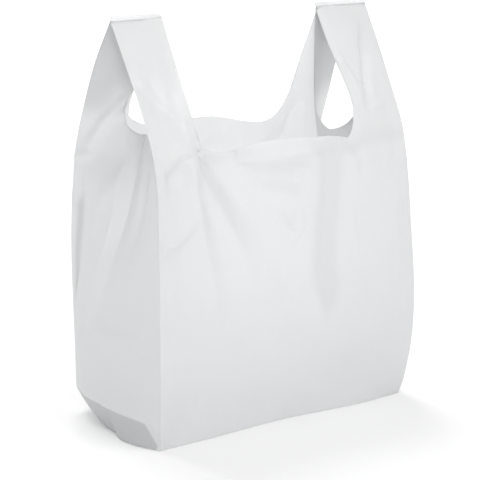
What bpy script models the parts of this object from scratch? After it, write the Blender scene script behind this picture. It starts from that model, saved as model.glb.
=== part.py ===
"""Plastic carrier bag: a blown film tube with side gussets, welded straight across
the bottom, its top cut to a U so that the sides stand up as two welded loop handles.

It stands open on its bottom. Metres, +Z up, the front panel faces -Y, the wide side
runs along X, and the origin is the middle of the bottom. Real film is a fiftieth of a
millimetre thick, so the wall here is a thicker stand-in, grown outward from the film.
"""
import math

import bmesh
import bpy

# Driving dimensions of the opened bag.
WIDTH = 0.292                 # front panel, fold to fold
DEPTH = 0.150                 # front panel to back panel
GUSSET_HALF = 0.0825          # side film between its corner fold and its middle fold
MOUTH_HEIGHT = 0.268          # bottom of the U cut
SEAL_HEIGHT = 0.380           # where the front and back of a handle are welded together
LEAN_HEIGHT = 0.190           # the walls lean in over this height below the seal
STRAP_WIDTH = 0.058           # one handle, corner fold to cut edge
CUT_RADIUS = 0.045            # round corner of the U cut
WALL = 0.0005                 # stand-in for the film
FOLD_FLAT = 0.0006            # flat turn of a corner fold, where one ply passes into the next

# Bottom: the gusset folds in over the welded strip, under a crease in the side wall.
CREASE_HEIGHT = 0.023         # crease along the side
CORNER_CREASE = 0.003         # the same crease where it meets the corner fold
CREASE_SLOPE = 0.85           # it climbs from the corner at this slope, then runs level
FLOOR_FILM = 0.0003           # inner face of the bottom, before it is trimmed flat

# Side walls: how far the middle fold is drawn in, low down and at the start of the lean.
TUCK_LOW = 0.004
TUCK_LOW_END = 0.100

# Handles: gap left between the two halves at the weld, and the weld itself.
SEAL_GAP = 0.0018
LEAF_CLOSE_HEIGHT = 0.060     # the inner ply swings back against the strap over this height
LEAF_CLOSE = 0.30             # what is left of its opening above that
WELD_BELOW = 0.006
WELD_ABOVE = 0.004
WELD_THICKNESS = 0.0052
WELD_INSET = 0.001

# Welded ear at each end of the bottom, outside the folded-in gusset.
EAR_THICKNESS = 0.0004
EAR_OVERLAP = 0.003

MERGE = 0.00001
MIRROR_MERGE = 0.0001

HALF_WIDTH = WIDTH / 2 - WALL
HALF_DEPTH = DEPTH / 2 - WALL
ROOT_HEIGHT = MOUTH_HEIGHT + CUT_RADIUS

WALL_LEVELS = (0.045, 0.100, 0.145, SEAL_HEIGHT - LEAN_HEIGHT)
LEAN_ROWS = 6
STRAP_ROWS = 6
CORNER_COLUMNS = (0.010, 0.022, 0.038)
ARC_STEPS_FRONT = 4
ARC_STEPS_SIDE = 3


def smoothstep(low, high, value):
    """Rise smoothly from 0 at low to 1 at high."""
    t = min(1.0, max(0.0, (value - low) / (high - low)))
    return t * t * (3 - 2 * t)


def lean(z):
    """Distance of the front wall from the middle plane: upright, then a quarter wave in."""
    below_seal = min(LEAN_HEIGHT, SEAL_HEIGHT - z)
    return SEAL_GAP + (HALF_DEPTH - SEAL_GAP) * math.sin(math.pi / 2 * below_seal / LEAN_HEIGHT)


def cut_height(distance):
    """Height of the U cut at a distance from the corner fold, beyond the strap's width."""
    across = CUT_RADIUS - (distance - STRAP_WIDTH)
    if across <= 0:
        return MOUTH_HEIGHT
    return ROOT_HEIGHT - math.sqrt(CUT_RADIUS ** 2 - across ** 2)


def top_height(distance):
    """Top of the body's film: level below the straps, then down the U cut."""
    return ROOT_HEIGHT if distance <= STRAP_WIDTH else cut_height(distance)


def arc_columns(reach, steps):
    """Distances from the corner fold that follow the cut's round corner to its reach."""
    end = math.acos(1 - (reach - STRAP_WIDTH) / CUT_RADIUS)
    return [STRAP_WIDTH + CUT_RADIUS * (1 - math.cos(end * k / steps)) for k in range(1, steps + 1)]


def front_point(distance, z):
    """Point of the front panel or front strap."""
    return (-HALF_WIDTH + distance, -lean(z), z)


def side_point(distance, z):
    """Point of the front half of the left gusset, drawn in to its middle fold."""
    fold_y = lean(z) - FOLD_FLAT
    full_tuck = math.sqrt(GUSSET_HALF ** 2 - fold_y ** 2)
    tuck = TUCK_LOW + (full_tuck - TUCK_LOW) * smoothstep(TUCK_LOW_END, WALL_LEVELS[-1], z)
    share = distance / GUSSET_HALF
    return (-HALF_WIDTH + tuck * share, -fold_y * (1 - share), z)


def leaf_point(distance, z):
    """Point of the handle's inner ply, which lies ever closer behind the strap."""
    notch = cut_height(GUSSET_HALF)
    opening = 1 - (1 - LEAF_CLOSE) * smoothstep(notch, notch + LEAF_CLOSE_HEIGHT, z)
    fold_y = lean(z) - FOLD_FLAT
    sine = fold_y / GUSSET_HALF * opening
    cosine = math.sqrt(1 - sine ** 2)
    return (-HALF_WIDTH + distance * cosine, -fold_y + distance * sine, z)


def blended_side_point(distance, z):
    """Side film near the notch: from the folded gusset to the handle's inner ply."""
    notch = cut_height(GUSSET_HALF)
    if z <= notch or distance == GUSSET_HALF:
        return side_point(distance, z)
    return leaf_point(distance, z)


def body_levels(top):
    """Heights of the wall's rows above the crease, up to one column's top."""
    start = WALL_LEVELS[-1]
    return list(WALL_LEVELS) + [start + (top - start) * k / LEAN_ROWS for k in range(1, LEAN_ROWS + 1)]


def diagonal_point(distance):
    """Point on the fold that runs from the bottom's corner in to the welded middle."""
    share = distance / GUSSET_HALF
    return (-HALF_WIDTH + distance, -(HALF_DEPTH - FOLD_FLAT) * (1 - share), FLOOR_FILM)


def crease_height(distance):
    """The side's bottom crease climbs from the corner and then runs level."""
    return min(CREASE_HEIGHT, CORNER_CREASE + CREASE_SLOPE * distance)


def bottom_column(distance, side_columns):
    """Bottom film along one column, from its welded middle line to the last row before the front."""
    share = distance / HALF_WIDTH
    return [(x * (1 - share), y, z) for x, y, z in map(diagonal_point, side_columns)]


def front_column(distance):
    """Front panel along one column, from the floor up."""
    levels = [FLOOR_FILM, CORNER_CREASE] + body_levels(top_height(distance))
    return [front_point(distance, z) for z in levels]


def side_column(distance):
    """Folded-in bottom and side wall along one column."""
    column = [diagonal_point(distance), side_point(distance, crease_height(distance))]
    return column + [blended_side_point(distance, z) for z in body_levels(top_height(distance))]


def strap_levels():
    """Heights of a handle's rows, from the top of the body to the weld."""
    return [ROOT_HEIGHT + (SEAL_HEIGHT - ROOT_HEIGHT) * k / STRAP_ROWS for k in range(STRAP_ROWS + 1)]


def add_patch(mesh, columns):
    """Loft a sheet of quads between neighbouring columns of equal length."""
    grid = [[mesh.verts.new(point) for point in column] for column in columns]
    for left, right in zip(grid, grid[1:]):
        for k in range(len(left) - 1):
            mesh.faces.new((left[k], right[k], right[k + 1], left[k + 1]))


def film_quarter():
    """The front left quarter of the film: bottom, wall, gusset half, strap and its inner ply."""
    strap = [0.0, STRAP_WIDTH / 2, STRAP_WIDTH]
    leaf = [0.0] + list(CORNER_COLUMNS) + [STRAP_WIDTH]
    front = strap + arc_columns(STRAP_WIDTH + CUT_RADIUS, ARC_STEPS_FRONT) + [HALF_WIDTH]
    side = leaf + arc_columns(GUSSET_HALF, ARC_STEPS_SIDE)
    leaf.reverse()
    side.reverse()
    mesh = bmesh.new()
    add_patch(mesh, [bottom_column(distance, side) + front_column(distance) for distance in front])
    add_patch(mesh, [side_column(distance) for distance in side] + [front_column(0.0)])
    inner_ply = [[leaf_point(distance, z) for z in strap_levels()] for distance in leaf]
    outer_ply = [[front_point(distance, z) for z in strap_levels()] for distance in strap]
    add_patch(mesh, inner_ply + outer_ply)
    bmesh.ops.remove_doubles(mesh, verts=mesh.verts, dist=MERGE)
    bmesh.ops.triangulate(mesh, faces=mesh.faces)
    data = bpy.data.meshes.new("carrier_bag")
    mesh.to_mesh(data)
    mesh.free()
    return data


def as_helper(obj):
    """Keep a solid that is only joined to or cut from the bag out of the model."""
    for holder in obj.users_collection:
        holder.objects.unlink(obj)
    helpers.objects.link(obj)
    obj.hide_render = True
    obj.display_type = "WIRE"
    return obj


def box(name, low, high):
    """A box between two corners, from the cube primitive."""
    centre = [(a + b) / 2 for a, b in zip(low, high)]
    bpy.ops.mesh.primitive_cube_add(size=1, location=centre)
    obj = bpy.context.object
    obj.name = name
    obj.scale = [b - a for a, b in zip(low, high)]
    bpy.ops.object.transform_apply(location=False, rotation=False, scale=True)
    return as_helper(obj)


def handle_weld(name, side):
    """The weld that closes one handle: all four plies fused over a short height."""
    outer = side * (WIDTH / 2 - WELD_INSET)
    inner = side * (WIDTH / 2 - STRAP_WIDTH - WELD_INSET)
    low = (min(outer, inner), -WELD_THICKNESS / 2, SEAL_HEIGHT - WELD_BELOW)
    high = (max(outer, inner), WELD_THICKNESS / 2, SEAL_HEIGHT + WELD_ABOVE)
    return box(name, low, high)


def bottom_ear(name, side):
    """The flat welded triangle at one end of the bottom, below the folded-in gusset."""
    outline = bpy.data.curves.new(name, "CURVE")
    outline.dimensions = "2D"
    outline.fill_mode = "BOTH"
    outline.extrude = EAR_THICKNESS / 2
    spline = outline.splines.new("POLY")
    tip = HALF_WIDTH - GUSSET_HALF - EAR_OVERLAP
    corners = [(side * HALF_WIDTH, -HALF_DEPTH), (side * tip, 0.0), (side * HALF_WIDTH, HALF_DEPTH)]
    spline.points.add(len(corners) - 1)
    for point, (x, y) in zip(spline.points, corners):
        point.co = (x, y, 0, 1)
    spline.use_cyclic_u = True
    curve = bpy.data.objects.new(name + "_outline", outline)
    bpy.context.scene.collection.objects.link(curve)
    bpy.context.view_layer.update()
    evaluated = curve.evaluated_get(bpy.context.evaluated_depsgraph_get())
    data = bpy.data.meshes.new_from_object(evaluated)
    welded = bmesh.new()
    welded.from_mesh(data)
    bmesh.ops.remove_doubles(welded, verts=welded.verts, dist=MERGE)
    bmesh.ops.recalc_face_normals(welded, faces=welded.faces)
    welded.to_mesh(data)
    welded.free()
    bpy.data.objects.remove(curve)
    ear = bpy.data.objects.new(name, data)
    bpy.context.scene.collection.objects.link(ear)
    return as_helper(ear)


def film_material():
    """Thin white milky polyethylene, softly glossy."""
    material = bpy.data.materials.new("white_film")
    material.use_nodes = True
    shader = material.node_tree.nodes["Principled BSDF"]
    shader.inputs["Base Color"].default_value = (0.86, 0.86, 0.85, 1)
    shader.inputs["Roughness"].default_value = 0.42
    shader.inputs["Metallic"].default_value = 0.0
    return material


def carrier_bag():
    """The whole bag as one closed body."""
    bag = bpy.data.objects.new("carrier_bag", film_quarter())
    model.objects.link(bag)
    bag.data.materials.append(film_material())

    mirror = bag.modifiers.new("other_quarters", "MIRROR")
    mirror.use_axis = (True, True, False)
    mirror.merge_threshold = MIRROR_MERGE

    wall = bag.modifiers.new("film_wall", "SOLIDIFY")
    wall.thickness = WALL
    wall.offset = 1

    for side, word in ((-1, "left"), (1, "right")):
        for solid in (handle_weld(word + "_weld", side), bottom_ear(word + "_ear", side)):
            join = bag.modifiers.new("join_" + solid.name, "BOOLEAN")
            join.operation = "UNION"
            join.object = solid

    below = box("under_floor", (-WIDTH, -DEPTH, -DEPTH), (WIDTH, DEPTH, 0.0))
    trim = bag.modifiers.new("trim_flat", "BOOLEAN")
    trim.operation = "DIFFERENCE"
    trim.object = below
    return bag


for old in list(bpy.data.objects):
    bpy.data.objects.remove(old)
model = bpy.data.collections.new("plastic_carrier_bag")
helpers = bpy.data.collections.new("helpers")
bpy.context.scene.collection.children.link(model)
bpy.context.scene.collection.children.link(helpers)
carrier_bag()
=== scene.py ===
import math

import bmesh
import bpy
import numpy as np
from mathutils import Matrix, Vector, noise


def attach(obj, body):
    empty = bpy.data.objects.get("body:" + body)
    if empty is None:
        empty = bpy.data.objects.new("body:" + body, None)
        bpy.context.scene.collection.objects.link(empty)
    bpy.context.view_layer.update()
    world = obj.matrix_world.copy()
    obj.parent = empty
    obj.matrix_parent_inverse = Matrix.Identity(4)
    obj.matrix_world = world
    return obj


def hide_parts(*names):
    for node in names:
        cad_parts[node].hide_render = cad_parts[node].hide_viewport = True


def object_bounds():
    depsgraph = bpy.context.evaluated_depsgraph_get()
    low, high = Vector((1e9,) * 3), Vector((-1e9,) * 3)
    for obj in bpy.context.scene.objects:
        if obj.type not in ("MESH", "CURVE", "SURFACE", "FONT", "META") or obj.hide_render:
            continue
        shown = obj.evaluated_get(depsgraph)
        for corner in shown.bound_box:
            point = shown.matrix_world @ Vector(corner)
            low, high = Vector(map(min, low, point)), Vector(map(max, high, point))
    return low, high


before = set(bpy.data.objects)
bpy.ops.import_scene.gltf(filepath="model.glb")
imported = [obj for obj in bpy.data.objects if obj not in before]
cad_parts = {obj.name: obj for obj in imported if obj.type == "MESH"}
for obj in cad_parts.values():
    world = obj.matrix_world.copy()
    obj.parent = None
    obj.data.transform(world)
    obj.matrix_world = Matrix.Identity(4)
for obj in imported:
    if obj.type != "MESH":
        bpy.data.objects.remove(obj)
cad_low, cad_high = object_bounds()

# --- The film's folds ------------------------------------------------------------------
# The bag is one tube of blown polyethylene, its two sides folded in as gussets before it
# was welded across the bottom. Every fold and taut line of the opened bag is a rail here:
# the points it passes through on its way up, as (height, x, y) in metres.
half_width = cad_high.x
weld_height = cad_high.z - 0.004


def smoothstep(low, high, value):
    """Rise smoothly from 0 at low to 1 at high."""
    t = np.clip((value - low) / (high - low), 0.0, 1.0)
    return t * t * (3 - 2 * t)


def rail(knots):
    """A smooth curve through (height, x, y) knots, listed upward, as a function of height."""
    at = np.array([knot[0] for knot in knots])
    values = np.array([knot[1:] for knot in knots])
    slopes = np.zeros_like(values)
    step = np.diff(at)[:, None]
    rise = np.diff(values, axis=0) / step
    slopes[0], slopes[-1] = rise[0], rise[-1]
    slopes[1:-1] = (rise[:-1] * step[1:] + rise[1:] * step[:-1]) / (step[1:] + step[:-1])

    def curve(z):
        z = min(max(z, at[0]), at[-1])
        i = min(int(np.searchsorted(at, z, side="right")) - 1, len(at) - 2)
        gap = at[i + 1] - at[i]
        t = (z - at[i]) / gap
        return (
            (2 * t ** 3 - 3 * t ** 2 + 1) * values[i]
            + (t ** 3 - 2 * t ** 2 + t) * gap * slopes[i]
            + (3 * t ** 2 - 2 * t ** 3) * values[i + 1]
            + (t ** 3 - t ** 2) * gap * slopes[i + 1]
        )

    return curve


# Corner folds: front left, back left, front right, back right.
fold_fl = rail([(0.0, -half_width, -0.075), (0.200, -half_width, -0.0755),
                (0.235, -half_width, -0.0745), (0.270, -half_width, -0.0665),
                (0.305, -half_width, -0.049), (0.340, -half_width, -0.027),
                (weld_height, -half_width, -0.0005)])
fold_bl = rail([(0.0, -half_width, 0.073), (0.025, -half_width, 0.073),
                (0.190, -half_width, 0.075), (0.237, -half_width, 0.070),
                (0.270, -half_width, 0.061), (0.300, -half_width, 0.048),
                (0.340, -half_width, 0.028), (weld_height, -half_width, 0.0005)])
fold_fr = rail([(0.0, 0.138, -0.071), (0.012, 0.141, -0.074), (0.030, 0.1455, -0.075),
                (0.190, half_width, -0.074), (0.234, half_width, -0.068),
                (0.268, half_width, -0.060), (0.300, half_width, -0.0445),
                (0.340, half_width, -0.0235), (weld_height, half_width, -0.0005)])
fold_br = rail([(0.0, 0.141, 0.068), (0.030, half_width, 0.074), (0.190, half_width, 0.075),
                (0.254, half_width, 0.066), (0.290, half_width, 0.053),
                (0.325, half_width, 0.040), (0.355, half_width, 0.020),
                (weld_height, half_width, 0.0005)])

# --- The side film ---------------------------------------------------------------------
# Each gusset opens into a side wall. Its middle fold still dents the upper half inward, a
# second crease steps out behind it, and low down the film bulges and folds in under itself.
side_film = 0.165
gusset_half = side_film / 2
left_valley = rail([(0.024, -0.1570, 0.008), (0.060, -0.1530, 0.030), (0.093, -0.1470, 0.034),
                    (0.140, -0.1425, 0.016), (0.181, -0.1370, 0.002), (0.236, -0.1280, -0.013),
                    (0.266, -0.1120, -0.002), (0.300, -0.1120, -0.002)])
left_step = rail([(0.024, -0.1560, 0.038), (0.060, -0.1525, 0.050), (0.110, -0.1475, 0.048),
                  (0.154, -0.1462, 0.027), (0.216, -0.1435, 0.003), (0.230, -0.1415, 0.002),
                  (0.257, -0.1285, 0.002), (0.290, -0.1255, 0.0125), (0.314, -0.1245, -0.002),
                  (0.345, -0.1050, -0.002), (weld_height, -0.0910, -0.0002)])
left_fore = rail([(0.024, -0.1550, -0.030), (0.060, -0.1510, -0.012), (0.093, -0.1475, -0.004),
                  (0.140, -0.1440, -0.0145), (0.181, -0.1400, -0.0235),
                  (0.236, -0.1345, -0.0335), (0.266, -0.1230, -0.0240),
                  (0.290, -0.1080, -0.024), (0.314, -0.0980, -0.022), (0.345, -0.0930, -0.012),
                  (weld_height, -0.0910, -0.0002)])
right_valley = rail([(0.024, 0.150, 0.004), (0.070, 0.1450, 0.004), (0.120, 0.1330, 0.006),
                     (0.190, 0.1160, 0.004), (0.266, 0.1060, 0.002), (0.300, 0.1100, 0.004)])
right_step = rail([(0.024, 0.151, 0.026), (0.070, 0.1475, 0.028), (0.120, 0.1410, 0.030),
                   (0.190, 0.1270, 0.028), (0.255, 0.1060, 0.021), (0.285, 0.1010, 0.020),
                   (0.305, 0.0985, 0.018), (0.330, 0.0940, 0.013), (0.355, 0.0890, 0.006),
                   (weld_height, 0.0855, 0.0002)])
right_fore = rail([(0.024, 0.151, -0.026), (0.070, 0.1470, -0.028), (0.120, 0.1400, -0.030),
                   (0.190, 0.1300, -0.030), (0.266, 0.1230, -0.022), (0.292, 0.1300, -0.010),
                   (0.314, 0.1280, -0.006), (0.345, 0.1080, -0.005),
                   (weld_height, 0.0855, -0.0002)])

# --- The front and back film -----------------------------------------------------------
# The cut edge of each handle is its tightest line, and it goes on down the panel as a soft
# ridge. The loose middle of the mouth hangs between the two.
edge_fl = rail([(0.0, -0.091, -0.0735), (0.140, -0.091, -0.0755), (0.190, -0.0960, -0.0760),
                (0.240, -0.1010, -0.0760), (0.279, -0.1010, -0.0730), (0.300, -0.0990, -0.0585),
                (0.330, -0.0960, -0.0365), (weld_height, -0.0910, -0.0005)])
middle_f = rail([(0.0, -0.002, -0.0690), (0.080, 0.0, -0.0750), (0.190, 0.0, -0.0745),
                 (0.266, 0.0, -0.0690), (0.300, 0.0, -0.066)])
edge_fr = rail([(0.0, 0.0855, -0.0745), (0.190, 0.0855, -0.0750), (0.240, 0.0850, -0.0740),
                (0.270, 0.0870, -0.0640), (0.300, 0.0910, -0.0480), (0.330, 0.0890, -0.0300),
                (0.350, 0.0870, -0.0180), (weld_height, 0.0860, -0.0005)])
edge_bl = rail([(0.0, -0.091, 0.064), (0.030, -0.091, 0.0745), (0.190, -0.091, 0.0750),
                (0.266, -0.0925, 0.0660), (0.300, -0.0930, 0.0500), (0.340, -0.0920, 0.0270),
                (weld_height, -0.0910, 0.0005)])
middle_b = rail([(0.0, 0.0, 0.066), (0.030, 0.0, 0.0750), (0.190, 0.0, 0.0740),
                 (0.266, 0.0, 0.0670), (0.300, 0.0, 0.0640)])
edge_br = rail([(0.0, 0.0855, 0.064), (0.030, 0.0855, 0.0745), (0.190, 0.0860, 0.0750),
                (0.262, 0.0900, 0.0640), (0.278, 0.0940, 0.0570), (0.295, 0.0950, 0.0490),
                (0.330, 0.0930, 0.0300), (weld_height, 0.0895, 0.0005)])

# --- The cut film ----------------------------------------------------------------------
# A fine net of quads in the film's own layout: columns run up the tube from the bottom weld
# and rows run round it. The mouth and the handles are one U-shaped cut through every ply.
strap_cells = {"left": 20, "right": 22}
side_cells = 60
front_cells = 104
half_depth = cad_high.y
mouth_height = 0.266
cut_radius = 0.026
root_height = mouth_height + cut_radius
strap_left_width = 0.055
strap_right_width = 0.0605
panel_cell = 2 * half_width / front_cells
side_cell = side_film / side_cells
bottom_rows = 26
free_height = 0.100
wall_levels = list(np.linspace(0.0, free_height, 26))
wall_levels += list(np.linspace(free_height, mouth_height, 63))[1:]
arch_levels = list(np.linspace(mouth_height, root_height, 13))[1:]
strap_levels = list(np.linspace(root_height, weld_height, 33))


def cut_height(distance, strap):
    """Top of the film below the handles, at a distance from the corner fold."""
    if distance <= strap + 1e-6:
        return root_height
    across = max(0.0, strap + cut_radius - distance)
    return root_height - math.sqrt(cut_radius ** 2 - across ** 2)


def levels_to(top):
    """Heights of a column's rows up to its own cut edge."""
    below = [z for z in wall_levels + arch_levels if z < top - 0.0008]
    return below + [top]


def blend_rails(rails, at, share, z, crisp):
    """Place between rails at shares of a panel: straight runs where crisp, else one smooth curve."""
    points = [curve(z) for curve in rails]
    i = min(int(np.searchsorted(at, share, side="right")) - 1, len(at) - 2)
    t = (share - at[i]) / (at[i + 1] - at[i])
    straight = points[i] * (1 - t) + points[i + 1] * t
    if crisp >= 1.0:
        return straight
    before = points[i - 1] if i > 0 else 2 * points[i] - points[i + 1]
    after = points[i + 2] if i + 2 < len(points) else 2 * points[i + 1] - points[i]
    gap = at[i + 1] - at[i]
    gap_before = at[i] - at[i - 1] if i > 0 else gap
    gap_after = at[i + 2] - at[i + 1] if i + 2 < len(points) else gap
    slope_in = (points[i + 1] - before) * gap / (gap + gap_before)
    slope_out = (after - points[i]) * gap / (gap + gap_after)
    smooth = (
        (2 * t ** 3 - 3 * t ** 2 + 1) * points[i]
        + (t ** 3 - 2 * t ** 2 + t) * slope_in
        + (3 * t ** 2 - 2 * t ** 3) * points[i + 1]
        + (t ** 3 - t ** 2) * slope_out
    )
    return smooth * (1 - crisp) + straight * crisp


# Corners of the bottom: the tip of the welded ear, the foot of each corner fold, the inner
# end of the folded-in gusset, and how the crease over the pocket climbs from the corner.
corners = {
    "fl": {"side": -1, "face": -1, "ear": (-0.1535, -0.012), "foot": (-0.1470, -0.0760, 0.0006),
           "bulge": -0.009, "crease": 0.023, "climb": 0.85},
    "bl": {"side": -1, "face": 1, "ear": (-0.1535, -0.012), "foot": (-0.1465, 0.0715, 0.0235),
           "bulge": -0.001, "crease": 0.024, "climb": 0.85},
    "fr": {"side": 1, "face": -1, "ear": (0.1490, 0.004), "foot": (0.1380, -0.0710, 0.0006),
           "bulge": 0.003, "crease": 0.021, "climb": 0.80},
    "br": {"side": 1, "face": 1, "ear": (0.1490, 0.004), "foot": (0.1410, 0.0680, 0.0040),
           "bulge": 0.002, "crease": 0.022, "climb": 0.80},
}
floor_film = 0.0006
pocket_film = 0.0016


def ear_line(corner, t):
    """The bottom's corner fold on the floor, from the ear's tip to the corner's foot."""
    ear_x, ear_y = corner["ear"]
    foot = corner["foot"]
    swell = corner["bulge"] * math.sin(math.pi * t ** 0.8)
    lift = floor_film + (foot[2] - floor_film) * t ** 2
    return np.array((ear_x + (foot[0] - ear_x) * t + swell, ear_y + (foot[1] - ear_y) * t, lift))


def crease_at(corner, distance):
    """Height of the crease where the side wall folds in over the pocket."""
    start = corner["foot"][2]
    return min(corner["crease"], start + 0.0015 + corner["climb"] * distance)


def side_place(which, share, z):
    """Place on the side film: share runs from the front corner fold to the back one."""
    if which == "left":
        rails = (fold_fl, left_fore, left_valley, left_step, fold_bl)
    else:
        rails = (fold_fr, right_fore, right_valley, right_step, fold_br)
    leaf = strap_cells[which] / side_cells
    at = (0.0, leaf, 0.5, 1 - leaf, 1.0)
    crisp = float(smoothstep(0.085, 0.170, z))
    x, y = blend_rails(rails, at, share, z, crisp)
    near_notch = float(smoothstep(0.200, 0.262, z)) * (1 - float(smoothstep(0.292, 0.330, z)))
    if which == "left":
        z += 0.0098 * near_notch * max(0.0, 1 - ((share - 0.5) / 0.21) ** 2)
    else:
        z -= 0.008 * near_notch * max(0.0, 1 - ((share - 0.5) / 0.34) ** 2)
    return np.array((x, y, z))


def side_along(which, share):
    """Distance round the tube from the front left fold to a place on the side film."""
    if which == "right":
        return 2 * half_width + share * side_film
    return 4 * half_width + 2 * side_film - share * side_film


def side_column(which, index):
    """One column of the side film, from the bottom weld up through the pocket and the wall."""
    share = index / side_cells
    near_front = share <= 0.5
    corner = corners[("f" if near_front else "b") + which[0]]
    inward = 2 * share if near_front else 2 * (1 - share)
    distance = gusset_half * inward
    tip = ear_line(corner, 0.0)
    foot = ear_line(corner, 1.0)
    weld = tip - np.array((corner["side"] * 0.012 * math.sin(math.pi * inward), 0.0, 0.0))
    diagonal = ear_line(corner, 1 - inward)
    if 0 < inward:
        weld[2] = pocket_film
    crease = side_place(which, share, crease_at(corner, distance)) if inward > 0 else foot
    turn = bottom_rows * (1 - inward)
    column = []
    for k in range(bottom_rows + 1):
        if k <= turn:
            t = k / turn if turn > 0 else 0.0
            point = ear_line(corner, t * (1 - inward)) + (weld - tip) * (1 - t)
        else:
            t = (k - turn) / (bottom_rows - turn)
            point = diagonal * (1 - t) + crease * t
        column.append(point)
    start = crease[2]
    top = cut_height(distance, strap_cells[which] * side_cell)
    for z in levels_to(top)[1:]:
        height = start + z * (free_height - start) / free_height if z < free_height else z
        column.append(side_place(which, share, height))
    below = [-(bottom_rows - k) * half_depth / bottom_rows for k in range(bottom_rows)]
    return side_along(which, share), below + levels_to(top), column


def panel_place(face, share, z):
    """Place on the front or back film: share runs from the left corner fold to the right one."""
    width = 2 * half_width
    at = (0.0, strap_left_width / width, 0.5, 1 - strap_right_width / width, 1.0)
    rails = (fold_fl, edge_fl, middle_f, edge_fr, fold_fr) if face < 0 else (
        fold_bl, edge_bl, middle_b, edge_br, fold_br)
    x, y = blend_rails(rails, at, share, z, float(smoothstep(0.310, 0.350, z)))
    film_x = share * width
    if face < 0:
        loose = max(0.0, (film_x - strap_left_width) / 0.008)
        x -= 0.0065 * loose * math.exp(1 - loose) * float(smoothstep(0.235, 0.268, z))
        sag = math.exp(-((width - film_x - 0.071) / 0.010) ** 2)
        z -= 0.008 * sag * float(smoothstep(0.220, 0.276, z))
        across = min(1.0, abs(x + 0.002) / 0.062)
        lip = (1 - across ** 2) ** 0.7
        y += lip * 0.0170 * max(0.0, z - 0.2515) / 0.0145
    else:
        lift = 0.006 - 0.011 * float(smoothstep(0.000, 0.070, x))
        lift *= float(smoothstep(0.200, 0.266, z)) * (1 - float(smoothstep(0.078, 0.096, abs(x))))
        z += lift
    return np.array((x, y, z))


def panel_along(face, share):
    """Distance round the tube from the front left fold to a place on the front or back film."""
    if face < 0:
        return share * 2 * half_width
    return 2 * half_width + side_film + (1 - share) * 2 * half_width


def panel_column(face, index):
    """One column of the front or back film, from the bottom weld under the bag and up the wall."""
    share = index / front_cells
    left, right = (corners["fl"], corners["fr"]) if face < 0 else (corners["bl"], corners["br"])
    column = []
    foot_left, foot_right = ear_line(left, 1.0), ear_line(right, 1.0)
    foot = panel_place(face, share, 0.0)
    corner_lift = (foot_left[2] - floor_film) * max(0.0, 1 - share / 0.16) ** 2
    corner_lift += (foot_right[2] - floor_film) * max(0.0, 1 - (1 - share) / 0.16) ** 2
    foot[2] = floor_film + corner_lift
    near = max(0.0, 1 - share / 0.10) ** 2
    far = max(0.0, 1 - (1 - share) / 0.10) ** 2
    for k in range(bottom_rows):
        t = k / bottom_rows
        start = np.array((foot[0], 0.0, floor_film))
        point = start * (1 - t) + foot * t
        ends = ear_line(left, t) * (1 - share) + ear_line(right, t) * share
        point[0] = ends[0]
        point[1] += near * (ear_line(left, t)[1] - point[1]) + far * (ear_line(right, t)[1] - point[1])
        if index in (0, front_cells):
            point = ear_line(left if index == 0 else right, t)
        column.append(point)
    from_left = share * 2 * half_width
    from_right = (1 - share) * 2 * half_width
    strap_left = strap_cells["left"] * panel_cell
    strap_right = strap_cells["right"] * panel_cell
    if from_left < from_right:
        top = cut_height(from_left, strap_left)
    else:
        top = cut_height(from_right, strap_right)
    if index == 0:
        foot = foot_left
    if index == front_cells:
        foot = foot_right
    column.append(foot)
    for z in levels_to(top)[1:]:
        height = foot[2] + z * (free_height - foot[2]) / free_height if z < free_height else z
        column.append(panel_place(face, share, height))
    below = [-(bottom_rows - k) * half_depth / bottom_rows for k in range(bottom_rows)]
    return panel_along(face, share), below + levels_to(top), column


def zip_columns(mesh, left, right):
    """Quads between two neighbouring columns, and a fan up the longer one along the cut."""
    common = min(len(left), len(right))
    for k in range(common - 1):
        mesh.faces.new((left[k], right[k], right[k + 1], left[k + 1]))
    for k in range(common - 1, len(left) - 1):
        mesh.faces.new((left[k], right[-1], left[k + 1]))
    for k in range(common - 1, len(right) - 1):
        mesh.faces.new((left[-1], right[k], right[k + 1]))


def add_sheet(mesh, at_film, columns):
    """Add neighbouring columns as one sheet; each vertex keeps its place on the flat film."""
    grid = []
    for along, heights, column in columns:
        verts = []
        for height, point in zip(heights, column):
            vert = mesh.verts.new(point)
            vert[at_film] = Vector((along, height, 0.0))
            verts.append(vert)
        grid.append(verts)
    for left, right in zip(grid, grid[1:]):
        zip_columns(mesh, left, right)


def strap_columns(which, face):
    """Half a handle's two plies: the side ply from its cut edge to the corner fold, then the strap."""
    count = strap_cells[which]
    plies = []
    for i in range(count, -1, -1):
        share = i / side_cells if face < 0 else 1 - i / side_cells
        along = side_along(which, share)
        plies.append((along, strap_levels, [side_place(which, share, z) for z in strap_levels]))
    for i in range(1, count + 1):
        at = i / front_cells
        share = at if which == "left" else 1 - at
        along = panel_along(face, share)
        plies.append((along, strap_levels, [panel_place(face, share, z) for z in strap_levels]))
    return plies


film_mesh = bmesh.new()
at_film = film_mesh.verts.layers.float_vector.new("film_at")
around = [panel_column(-1, i) for i in range(front_cells + 1)]
around += [side_column("right", i) for i in range(1, side_cells + 1)]
around += [panel_column(1, i) for i in range(front_cells - 1, -1, -1)]
around += [side_column("left", i) for i in range(side_cells - 1, -1, -1)]
add_sheet(film_mesh, at_film, around)
for which, face in (("left", -1), ("left", 1), ("right", -1), ("right", 1)):
    columns = strap_columns(which, face)
    if (which == "left") != (face < 0):
        columns.reverse()
    add_sheet(film_mesh, at_film, columns)
bmesh.ops.remove_doubles(film_mesh, verts=film_mesh.verts, dist=0.00002)
film = bpy.data.objects.new("film", bpy.data.meshes.new("film"))
bpy.context.scene.collection.objects.link(film)
film_mesh.to_mesh(film.data)
film_mesh.free()
film.data.shade_smooth()

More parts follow.
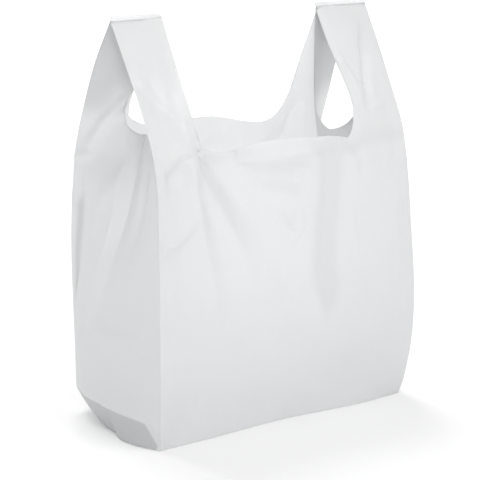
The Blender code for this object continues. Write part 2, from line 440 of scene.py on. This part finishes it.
# --- Tension folds and crumples --------------------------------------------------------
# Each fold is a path over the film: (distance round the tube, height) points in millimetres,
# then its height, and its reach to the left and right, each at the start and at the end.
front_folds = [
    ([(45, 281), (43, 262), (45, 226), (50, 184), (58, 141), (68, 90)], (4.5, 1.0), (9, 20), (20, 30)),
    ([(46, 268), (26, 256), (12, 243)], (-3.2, -1.6), (24, 16), (7, 6)),
    ([(2, 187), (20, 191), (33, 203), (46, 216)], (2.8, 1.2), (20, 16), (5, 8)),
    ([(58, 268), (82, 235), (99, 210), (119, 179), (139, 138), (151, 88)],
     (-3.6, -1.6), (16, 26), (18, 30)),
    ([(52, 258), (70, 223), (88, 183), (100, 125)], (2.2, 1.0), (14, 18), (13, 18)),
    ([(191, 262), (187, 208), (179, 152), (186, 112)], (-1.8, -0.8), (16, 14), (18, 16)),
    ([(92, 256), (112, 246), (140, 243), (168, 240)], (1.8, 1.8), (8, 8), (14, 10)),
    ([(105, 232), (135, 222), (160, 212)], (2.0, 1.4), (12, 10), (12, 10)),
    ([(130, 202), (146, 180), (162, 204)], (1.6, 1.6), (7, 7), (9, 9)),
    ([(216, 200), (222, 170), (228, 120)], (1.6, 0.6), (8, 12), (14, 20)),
    ([(282, 200), (284, 150), (283, 80)], (-1.2, -0.8), (8, 8), (7, 7)),
    ([(247, 282), (262, 284), (276, 290)], (1.4, 0.6), (5, 5), (8, 8)),
    ([(283, 376), (266, 330), (249, 290)], (-2.4, -1.8), (10, 10), (3, 4)),
    ([(236, 336), (242, 312), (243, 290)], (1.4, 1.0), (4, 4), (6, 6)),
    ([(6, 330), (20, 306), (40, 290)], (1.0, 1.0), (9, 9), (7, 7)),
    ([(226, 262), (233, 240), (236, 200)], (-1.6, -0.6), (8, 12), (6, 9)),
    ([(2, 268), (9, 250), (8, 226)], (1.3, 0.6), (4, 4), (5, 6)),
    ([(60, 262), (78, 258), (94, 262)], (-1.2, -1.0), (5, 5), (7, 7)),
]
side_folds = [
    ([(110, 312), (124, 296), (137, 281), (150, 262), (157, 248)], (2.6, 1.0), (10, 8), (12, 9)),
    ([(146, 253), (154, 252), (163, 250)], (1.2, 0.8), (5, 4), (5, 4)),
    ([(158, 240), (153, 200), (152, 150), (158, 100)], (-2.2, -0.8), (10, 9), (7, 6)),
    ([(120, 226), (128, 205), (132, 180)], (1.4, 0.8), (10, 10), (8, 8)),
    ([(24, 96), (56, 84), (90, 86)], (0.7, 0.5), (14, 14), (20, 18)),
    ([(30, 262), (44, 240), (52, 205), (60, 160)], (-0.9, -0.6), (10, 14), (10, 14)),
]
back_folds = [
    ([(40, 281), (46, 250), (60, 200), (84, 140)], (3.6, 1.0), (10, 20), (14, 24)),
    ([(250, 281), (246, 250), (232, 205), (214, 150)], (3.4, 1.0), (14, 24), (10, 20)),
    ([(30, 268), (22, 244), (20, 214)], (-2.6, -1.0), (10, 14), (10, 12)),
    ([(70, 262), (104, 226), (132, 176), (150, 110)], (-3.0, -1.2), (16, 24), (16, 26)),
    ([(222, 258), (196, 222), (176, 176), (168, 130)], (-2.6, -1.0), (16, 24), (16, 24)),
    ([(120, 246), (146, 232), (172, 240)], (1.8, 1.8), (10, 10), (12, 12)),
    ([(290, 196), (270, 190), (250, 200)], (1.8, 0.8), (8, 8), (8, 8)),
]


def fold_relief(folds, u, v):
    """Height in metres that a list of folds adds at film places u, v in millimetres."""
    relief = np.zeros_like(u)
    for path, rise, reach_left, reach_right in folds:
        path = np.array(path, dtype=float)
        lengths = np.linalg.norm(np.diff(path, axis=0), axis=1)
        starts = np.concatenate(([0.0], np.cumsum(lengths)))
        best = np.full_like(u, 1e9)
        signed = np.zeros_like(u)
        along = np.zeros_like(u)
        for i, (a, b) in enumerate(zip(path, path[1:])):
            step = (b - a) / lengths[i]
            t = np.clip((u - a[0]) * step[0] + (v - a[1]) * step[1], 0, lengths[i])
            gap_u = u - a[0] - t * step[0]
            gap_v = v - a[1] - t * step[1]
            gap = np.hypot(gap_u, gap_v)
            near = gap < best
            best = np.where(near, gap, best)
            signed = np.where(near, step[0] * gap_v - step[1] * gap_u, signed)
            along = np.where(near, (starts[i] + t) / starts[-1], along)
        left = reach_left[0] + (reach_left[1] - reach_left[0]) * along
        right = reach_right[0] + (reach_right[1] - reach_right[0]) * along
        reach = np.where(signed > 0, left, right)
        height = rise[0] + (rise[1] - rise[0]) * along
        ends = smoothstep(0.0, 0.12, along) * smoothstep(1.0, 0.80, along)
        rounded = np.sqrt(best ** 2 + 1.4 ** 2) - 1.4
        relief += height * (0.25 + 0.75 * ends) * np.clip(1 - rounded / reach, 0, 1) ** 1.3
    return relief / 1000


count = len(film.data.vertices)
place = np.empty(count * 3)
film.data.vertices.foreach_get("co", place)
place = place.reshape(-1, 3)
film_at = np.empty(count * 3)
film.data.attributes["film_at"].data.foreach_get("vector", film_at)
film_at = film_at.reshape(-1, 3)
outward = np.empty(count * 3)
film.data.vertex_normals.foreach_get("vector", outward)
outward = outward.reshape(-1, 3)
u = film_at[:, 0] * 1000
v = film_at[:, 1] * 1000
panel_mm = 2000 * half_width
side_mm = 1000 * side_film
whole_mm = 2 * panel_mm + 2 * side_mm
relief = np.where(u < panel_mm, fold_relief(front_folds, u, v), 0.0)
on_back = (u > panel_mm + side_mm) & (u < 2 * panel_mm + side_mm)
relief += np.where(on_back, fold_relief(back_folds, 2 * panel_mm + side_mm - u, v), 0.0)
on_left = u > 2 * panel_mm + side_mm
relief += np.where(on_left, fold_relief(side_folds, whole_mm - u, v), 0.0)
on_right = (u > panel_mm) & (u < panel_mm + side_mm)
relief += np.where(on_right, fold_relief(side_folds[1:], panel_mm + side_mm - u, v), 0.0)

# Away from the folds the thin film is never quite flat: broad waves, then finer buckles that
# keep off the corner folds and grow livelier towards the mouth and handles.
to_fold = np.minimum.reduce([np.abs(u - fold) for fold in (0, panel_mm, panel_mm + side_mm,
                                                           2 * panel_mm + side_mm, whole_mm)])
calm = smoothstep(0.0, 14.0, to_fold)
lively = 0.45 + 0.55 * smoothstep(120.0, 250.0, v)
slack = np.empty(count)
for i in range(count):
    spot = Vector((u[i], v[i], 0.0))
    broad = noise.noise(spot / 62.0 + Vector((3.1, 7.7, 1.9)))
    buckle = noise.noise(Vector((spot.x / 19.0, spot.y / 34.0, 4.4)))
    fine = abs(noise.noise(Vector((spot.x / 8.5, spot.y / 11.0, 9.2))))
    slack[i] = 1.6 * broad + (0.65 * buckle + 0.32 * (0.35 - fine)) * lively[i]
slack *= np.where(on_left | on_right, 0.55, 1.0)
relief += slack * calm / 1000 * np.where(v < 0, 0.0, smoothstep(0.0, 18.0, v))
relief *= smoothstep(374.0, 338.0, v)
fold_strength = 2.1
place += outward * fold_strength * relief[:, None]
film.data.vertices.foreach_set("co", place.ravel())
film.data.update()
film.data.set_sharp_from_angle(angle=math.radians(35))

wall = film.modifiers.new("film_thickness", "SOLIDIFY")
wall.thickness = 0.0002
wall.offset = 0

# --- White film ------------------------------------------------------------------------
# Milky polyethylene, part of whose light comes through from the far side. The attribute "layers" lets
# less through and greys the film with painted shade: where plies overlap (partly real plies, partly
# painted shade), in the pockets (painted shade), and in two painted shade bands that stand for no
# modelled fold, one right of the front's middle and one by the back fold on the left.
layers = np.where(on_back, 0.0, 0.5)
# The leaves by the handles grey: partly real plies behind them, partly painted shade.
leaf_ply_and_shade = 0.45 + 0.55 * smoothstep(100.0, 150.0, whole_mm - u)
layers += np.where(on_left | on_right, 1.05 * leaf_ply_and_shade * smoothstep(262.0, 310.0, v), 0.0)
layers += np.where(u < panel_mm, 0.5 * smoothstep(246.0, 262.0, v), 0.0)
# The pockets under the bottom and the foot of each side wall grey: partly real folded plies, partly
# painted shade where the wall overhangs them.
layers = np.where((on_left | on_right) & (v < 0), 1.8, layers)
layers = np.maximum(layers, np.where(on_left | on_right, 0.9 * smoothstep(6.0, 0.0, v), 0.0))
# Painted shade: a soft dark band right of the front's middle, where the gusset shows through; it is no
# extra ply.
band = 190 - 11 * smoothstep(262.0, 152.0, v) + 6 * smoothstep(152.0, 100.0, v)
front_shade_band = 0.75 * np.exp(-((u - band - 3.0) / 17.0) ** 2) + 0.30 * smoothstep(-6.0, 6.0, u - band)
front_shade_band *= smoothstep(60.0, 130.0, v) * smoothstep(275.0, 250.0, v)
layers = np.where(u < panel_mm, np.minimum(layers + front_shade_band, 1.2), layers)
# Painted shade: a narrow dark band beside the left back fold, where no fold is modelled.
back_fold_shade = np.exp(-((whole_mm - u - 156.0) / 5.0) ** 2) * smoothstep(80.0, 130.0, v)
layers += np.where(on_left, 1.1 * back_fold_shade * smoothstep(225.0, 200.0, v), 0.0)
stored = film.data.attributes.new("layers", "FLOAT", "POINT")
stored.data.foreach_set("value", layers.astype(np.float32))


class Paint:
    """A material built from nodes, starting at its Principled shader."""

    def __init__(self, name):
        self.material = bpy.data.materials.new(name)
        self.material.use_nodes = True
        self.tree = self.material.node_tree
        self.shader = self.tree.nodes["Principled BSDF"]

    def set(self, node, sockets):
        """Give each named socket of a node its value, or a link from another node's socket."""
        for name, value in sockets.items():
            if isinstance(value, bpy.types.NodeSocket):
                self.tree.links.new(value, node.inputs[name])
            else:
                node.inputs[name].default_value = value
        return node

    def add(self, kind, settings, sockets):
        """Add a node of one kind: its settings first, then its sockets."""
        node = self.tree.nodes.new(kind)
        for name, value in settings.items():
            setattr(node, name, value)
        return self.set(node, sockets)


film_paint = Paint("white_film")
plies_and_shade = film_paint.add("ShaderNodeAttribute", {"attribute_name": "layers"}, {}).outputs["Fac"]
greyness = film_paint.add("ShaderNodeMapRange", {"interpolation_type": "SMOOTHSTEP"}, {
    "From Min": 0.8, "From Max": 2.2, "Value": plies_and_shade})
# B is painted shade: the grey the film turns where the attribute marks pockets, leaves and bands.
tint = film_paint.add("ShaderNodeMix", {"data_type": "RGBA"}, {
    "A": (0.845, 0.85, 0.855, 1), "B": (0.54, 0.55, 0.56, 1),
    "Factor": greyness.outputs["Result"]})
where = film_paint.add("ShaderNodeTexCoord", {}, {}).outputs["Object"]
grain = film_paint.add("ShaderNodeTexNoise", {}, {"Scale": 210, "Detail": 3, "Vector": where})
ripple = film_paint.add("ShaderNodeBump", {}, {
    "Strength": 0.10, "Distance": 0.0006, "Height": grain.outputs["Fac"]})
film_paint.set(film_paint.shader, {
    "Roughness": 0.36, "Specular IOR Level": 0.42,
    "Base Color": tint.outputs["Result"], "Normal": ripple.outputs["Normal"]})
through = film_paint.add("ShaderNodeBsdfTranslucent", {}, {"Color": (0.98, 0.983, 0.985, 1)})
share_through = film_paint.add("ShaderNodeMapRange", {}, {
    "To Min": 0.62, "To Max": 0.22, "Value": plies_and_shade})
surface = film_paint.add("ShaderNodeMixShader", {}, {
    0: share_through.outputs["Result"],
    1: film_paint.shader.outputs[0], 2: through.outputs[0]})
film_paint.set(film_paint.tree.nodes["Material Output"], {0: surface.outputs[0]})
white = film_paint.material
film.data.materials.append(white)

# --- Handle welds ----------------------------------------------------------------------
# Above the weld that closes each handle stands a narrow ribbed fin of fused film, a little
# wavy from the heat, with a loose tab at its inner end.
fin_rows = 8
fin_columns = 60
fin_height = 0.0085
for name, outer, inner in (("left_weld", fold_fl, edge_fl), ("right_weld", fold_fr, edge_fr)):
    start, end = outer(weld_height)[0], inner(weld_height)[0]
    fin_mesh = bmesh.new()
    rows = []
    for j in range(fin_rows + 1):
        row = []
        for i in range(fin_columns + 1):
            t = i / fin_columns
            rise = j / fin_rows
            wave = 0.0007 * math.sin(9.0 * t + 3.0) + 0.0004 * math.sin(23.0 * t)
            tab = 0.0035 * float(smoothstep(0.60, 0.72, t)) * rise ** 2
            ribs = 0.00016 * math.cos(math.pi * j)
            ragged = 0.0004 * math.sin(17.0 * t) + 0.0006 * math.sin(5.0 * t)
            z = weld_height - 0.0045 + fin_height * rise + ragged * rise + 0.0006 * (1 - t) * rise
            row.append(fin_mesh.verts.new((start + (end - start) * t, wave * rise + tab + ribs, z)))
        rows.append(row)
    for low_row, high_row in zip(rows, rows[1:]):
        for i in range(fin_columns):
            quad = (low_row[i], low_row[i + 1], high_row[i + 1], high_row[i])
            fin_mesh.faces.new(quad if end > start else quad[::-1])
    fin = bpy.data.objects.new(name, bpy.data.meshes.new(name))
    bpy.context.scene.collection.objects.link(fin)
    fin_mesh.to_mesh(fin.data)
    fin_mesh.free()
    fin.data.shade_smooth()
    fused = fin.modifiers.new("fused_film", "SOLIDIFY")
    fused.thickness = 0.0005
    fused.offset = 0
    fin.data.materials.append(white)
    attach(fin, "root")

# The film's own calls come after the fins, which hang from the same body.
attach(film, "root")
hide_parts("carrier_bag")

# --- Floor, light and camera -----------------------------------------------------------
# A plain pale floor whose faint glow grows away from the bag, so that it stays white far off,
# under a white world and three large soft lamps. A long lens looks down on the front left.
floor_reach = 6
floor_mesh = bpy.data.meshes.new("floor")
floor_mesh.from_pydata(
    [(x * floor_reach, y * floor_reach, 0) for x, y in ((-1, -1), (1, -1), (1, 1), (-1, 1))],
    [], [(0, 1, 2, 3)],
)
floor = bpy.data.objects.new("floor", floor_mesh)
bpy.context.scene.collection.objects.link(floor)
floor_paint = Paint("floor_paint")
floor_at = floor_paint.add("ShaderNodeTexCoord", {}, {}).outputs["Object"]
reach = floor_paint.add("ShaderNodeVectorMath", {"operation": "LENGTH"}, {0: floor_at})
fade = floor_paint.add("ShaderNodeMapRange", {}, {
    "From Min": 0.7, "From Max": 3.2, "To Min": 0.15, "To Max": 0.72,
    "Value": reach.outputs["Value"]})
floor_paint.set(floor_paint.shader, {
    "Base Color": (0.77, 0.77, 0.77, 1), "Roughness": 0.9,
    "Emission Color": fade.outputs["Result"], "Emission Strength": 1.0})
floor.data.materials.append(floor_paint.material)

bpy.context.scene.view_settings.view_transform = "Standard"
world = bpy.data.worlds.new("studio")
bpy.context.scene.world = world
world.use_nodes = True
world.node_tree.nodes["Background"].inputs["Color"].default_value = (1, 1, 1, 1)
world.node_tree.nodes["Background"].inputs["Strength"].default_value = 0.61


def soft_light(name, at, aim, size, power):
    """A large square lamp at a place, turned to face a point."""
    lamp = bpy.data.lights.new(name, "AREA")
    lamp.size = size
    lamp.energy = power
    holder = bpy.data.objects.new(name, lamp)
    bpy.context.scene.collection.objects.link(holder)
    holder.location = at
    holder.rotation_euler = (Vector(aim) - Vector(at)).to_track_quat("-Z", "Y").to_euler()


soft_light("key", (-1.15, -2.1, 1.15), (0, 0, 0.18), 0.8, 12.5)
soft_light("top", (0.5, -1.0, 3.0), (0, 0, 0.25), 1.0, 24)
soft_light("back", (0.4, 2.1, 3.2), (0.1, 0.5, 0), 2.0, 74)

camera = bpy.data.objects.new("camera", bpy.data.cameras.new("camera"))
bpy.context.scene.collection.objects.link(camera)
camera.data.lens = 135
camera.data.sensor_width = 36
camera.data.clip_start = 0.05
camera.data.clip_end = 50
turn, tilt = math.radians(35.80), math.radians(13.12)
aim = Vector((-0.0041, 0.0, 0.1619))
away = Vector((-math.sin(turn) * math.cos(tilt), -math.cos(turn) * math.cos(tilt), math.sin(tilt)))
camera_distance = 1.726
camera.location = aim + away * camera_distance
camera.rotation_euler = (-away).to_track_quat("-Z", "Y").to_euler()
bpy.context.scene.camera = camera
